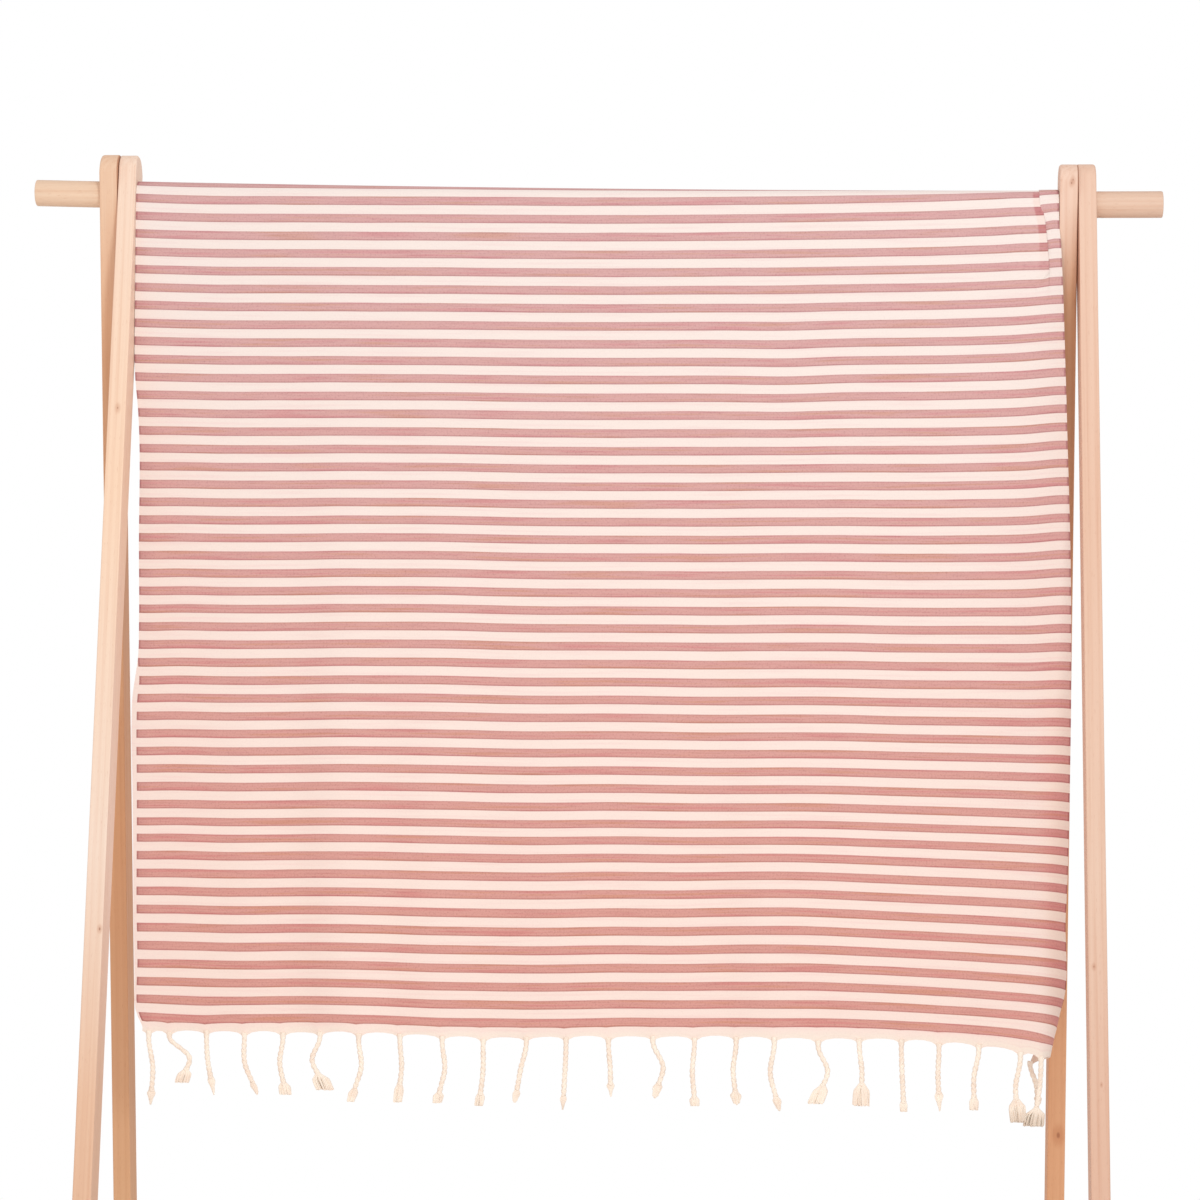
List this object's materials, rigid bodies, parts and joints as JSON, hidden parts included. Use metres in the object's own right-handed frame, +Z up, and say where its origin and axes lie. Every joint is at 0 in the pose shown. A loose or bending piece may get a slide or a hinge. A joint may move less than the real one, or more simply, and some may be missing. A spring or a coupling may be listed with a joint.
{
  "type": "hammam towel hung on a wooden a-frame rack",
  "caption": "Flat-woven striped hammam towel with knotted twisted fringe, hung over the round rail of a plain wooden A-frame rack.",
  "frame": {"origin": "on the floor, under the middle of the rack", "axes": "+X along the rail to the right as the towel is faced, +Y to the back, +Z up; the towel's long side hangs at -Y"},
  "size_m": [1.2203, 0.5416, 1.4467],
  "materials": {
    "woven_cotton": "matt flat weave with even rose and cream weft stripes",
    "twisted_yarn": "matt cream cotton, two-ply twisted and knotted",
    "rail_wood": "bare sanded pale wood",
    "leg_wood": "bare planed pale wood with a few small knots"
  },
  "bodies": {
    "root": {"towel_cloth": "woven_cotton", "fringe_front": "twisted_yarn", "fringe_back": "twisted_yarn", "rail": "rail_wood", "leg_left_front": "leg_wood", "leg_left_back": "leg_wood", "leg_right_front": "leg_wood", "leg_right_back": "leg_wood"}
  },
  "joints": []
}
